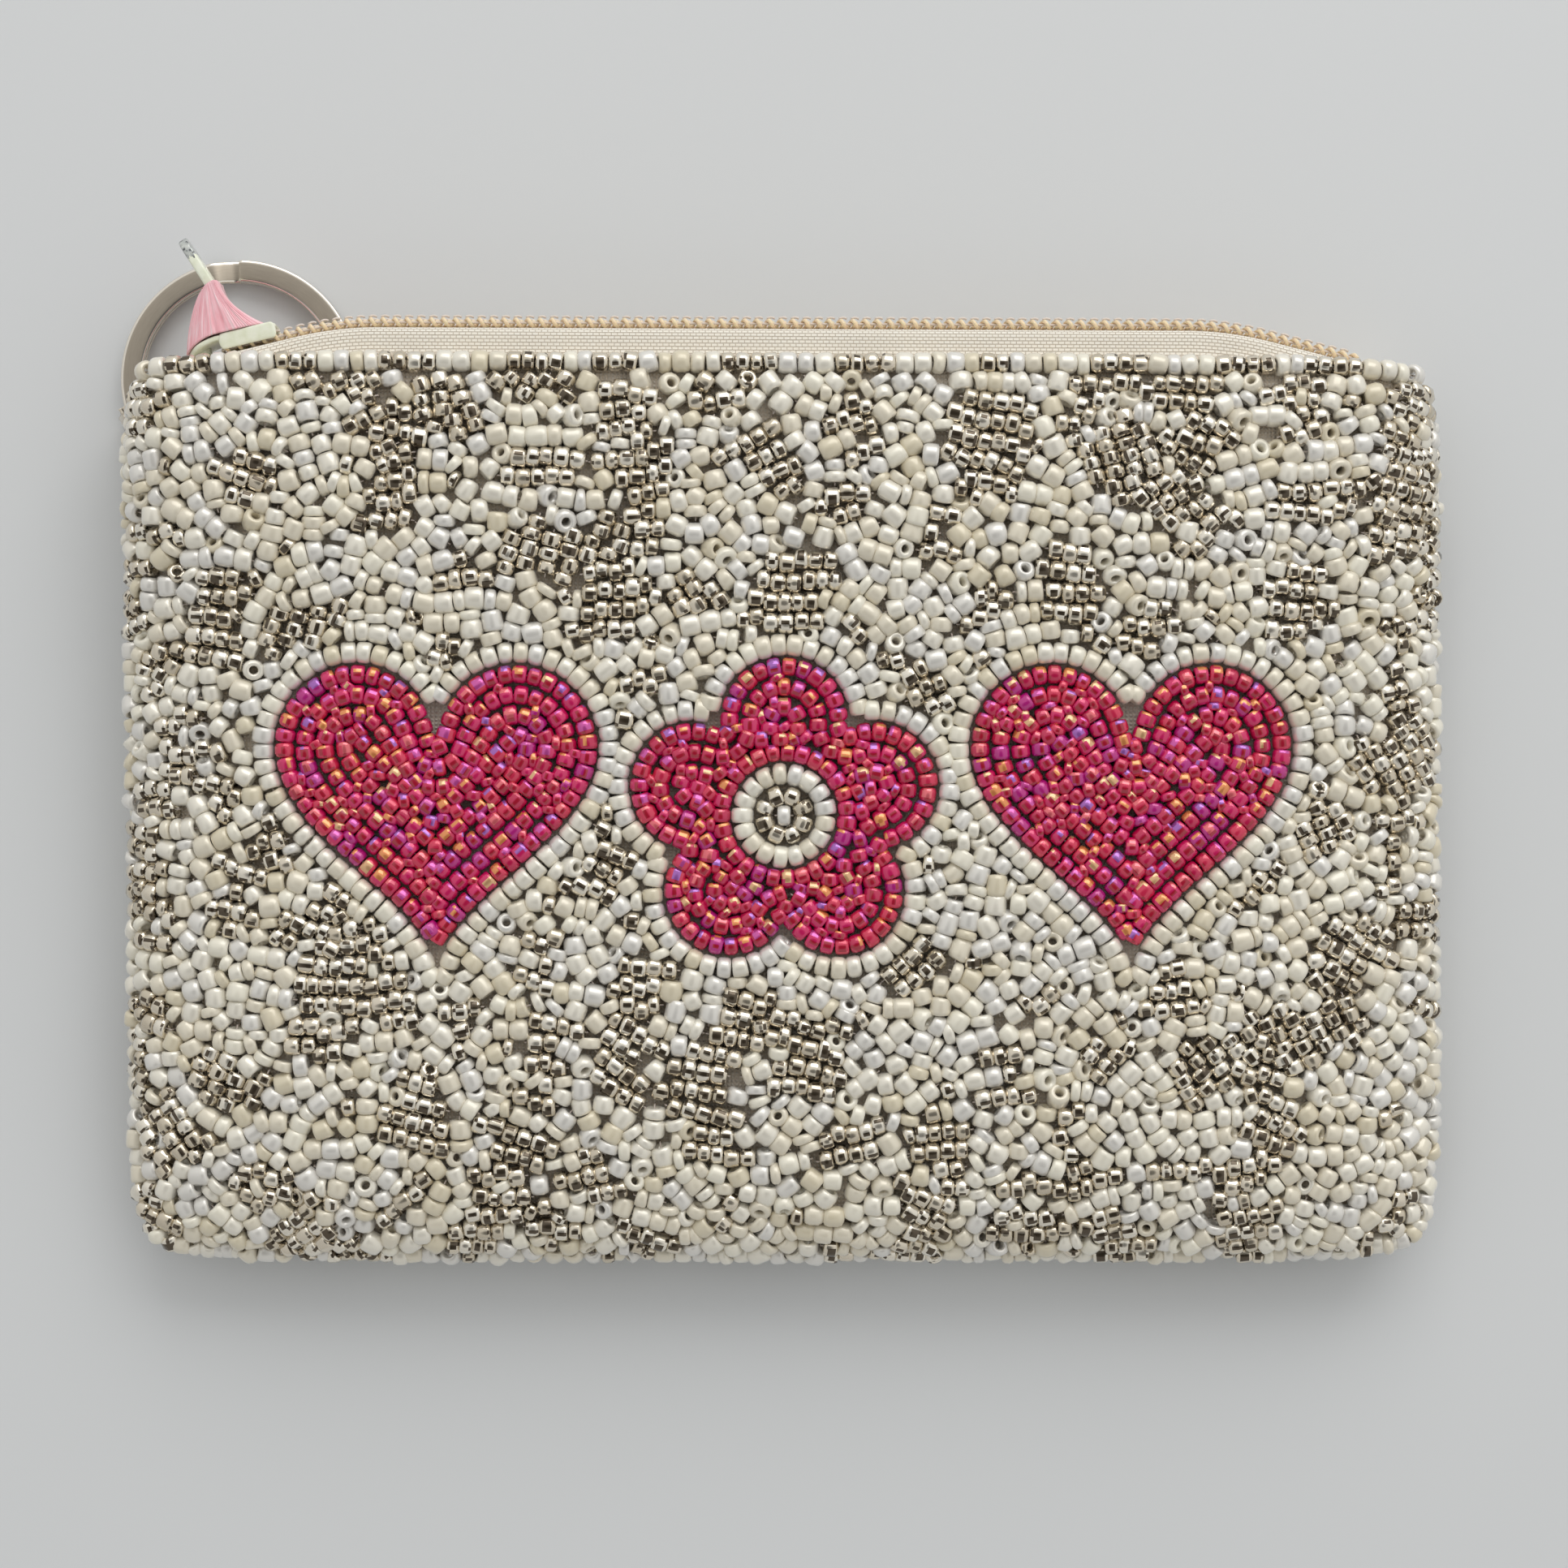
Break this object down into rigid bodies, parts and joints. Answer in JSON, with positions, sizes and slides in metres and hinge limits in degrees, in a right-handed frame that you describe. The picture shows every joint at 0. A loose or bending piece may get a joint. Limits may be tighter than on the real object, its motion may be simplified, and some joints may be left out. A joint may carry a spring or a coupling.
{
  "type": "coin purse",
  "caption": "Flat zipped coin purse covered in couched glass beads, with two pink hearts and a flower, a zip slider wrapped in satin and a split ring on a corner tab.",
  "frame": {"origin": "centre of the body on the surface that the purse lies on", "axes": "+X along the zip towards its closed end's far side seam, +Y from the bottom seam to the zip, +Z out of the front panel"},
  "size_m": [0.1387, 0.1062, 0.0165],
  "materials": {
    "pearl_beads": "opaque pearl-lustred seed beads, with small patches of silver ones",
    "pink_beads": "clear seed beads lined in magenta, with a rainbow lustre",
    "backing_cloth": "plain woven beige cotton",
    "lining_satin": "pink lining satin",
    "zip_tape": "cream woven tape",
    "zip_coil": "golden cream nylon",
    "thread": "cream sewing thread",
    "ribbon": "pink satin ribbon",
    "slider_enamel": "pale greenish cream enamel, worn to metal at the tip",
    "pink_satin": "finely pleated glossy pink satin",
    "nickel": "worn nickel plate"
  },
  "bodies": {
    "pouch_back": {"back_beadwork": "pearl_beads", "back_fabric": "backing_cloth", "back_lining": "lining_satin", "back_zip_tape": "zip_tape", "back_zip_coil": "zip_coil", "back_zip_stitching": "thread", "seam_stitching": "thread", "ring_tab": "ribbon"},
    "pouch_front": {"front_beadwork": "pearl_beads", "left_heart_beadwork": "pink_beads", "flower_beadwork": "pink_beads", "right_heart_beadwork": "pink_beads", "front_fabric": "backing_cloth", "front_lining": "lining_satin", "front_zip_tape": "zip_tape", "front_zip_coil": "zip_coil", "front_zip_stitching": "thread"},
    "slider": {"slider_body": "slider_enamel", "satin_wrap": "pink_satin"},
    "pull": {"pull_tab": "slider_enamel"},
    "ring": {"split_ring": "nickel"}
  },
  "joints": [
    {"name": "mouth_open", "type": "hinge", "parent": "pouch_back", "child": "pouch_front", "pos_m": [0, -0.047, 0.0062], "axis": [1, 0, 0], "range_deg": [0, 14], "deforming": ["front_zip_coil", "front_zip_tape"]},
    {"name": "slider_travel", "type": "hinge", "parent": "pouch_back", "child": "slider", "pos_m": [0.00601, -0.42908, 0.00784], "axis": [-0.0293, 0, -0.9996], "range_deg": [0, 12], "deforming": ["back_zip_coil", "back_zip_tape"]},
    {"name": "pull_swing", "type": "hinge", "parent": "slider", "child": "pull", "pos_m": [-0.05653, 0.05045, 0.00967], "axis": [0.0293, 0, 0.9996], "range_deg": [-95, 50], "deforming": ["satin_wrap"]},
    {"name": "ring_swing", "type": "hinge", "parent": "pouch_back", "child": "ring", "pos_m": [-0.06733, 0.04002, 0.0014], "axis": [-0.5, 0.866, 0], "range_deg": [0, 170], "deforming": ["ring_tab"]}
  ],
  "couplings": [
    {"joint": "slider_travel", "follows": "mouth_open", "ratio": 0.857}
  ]
}
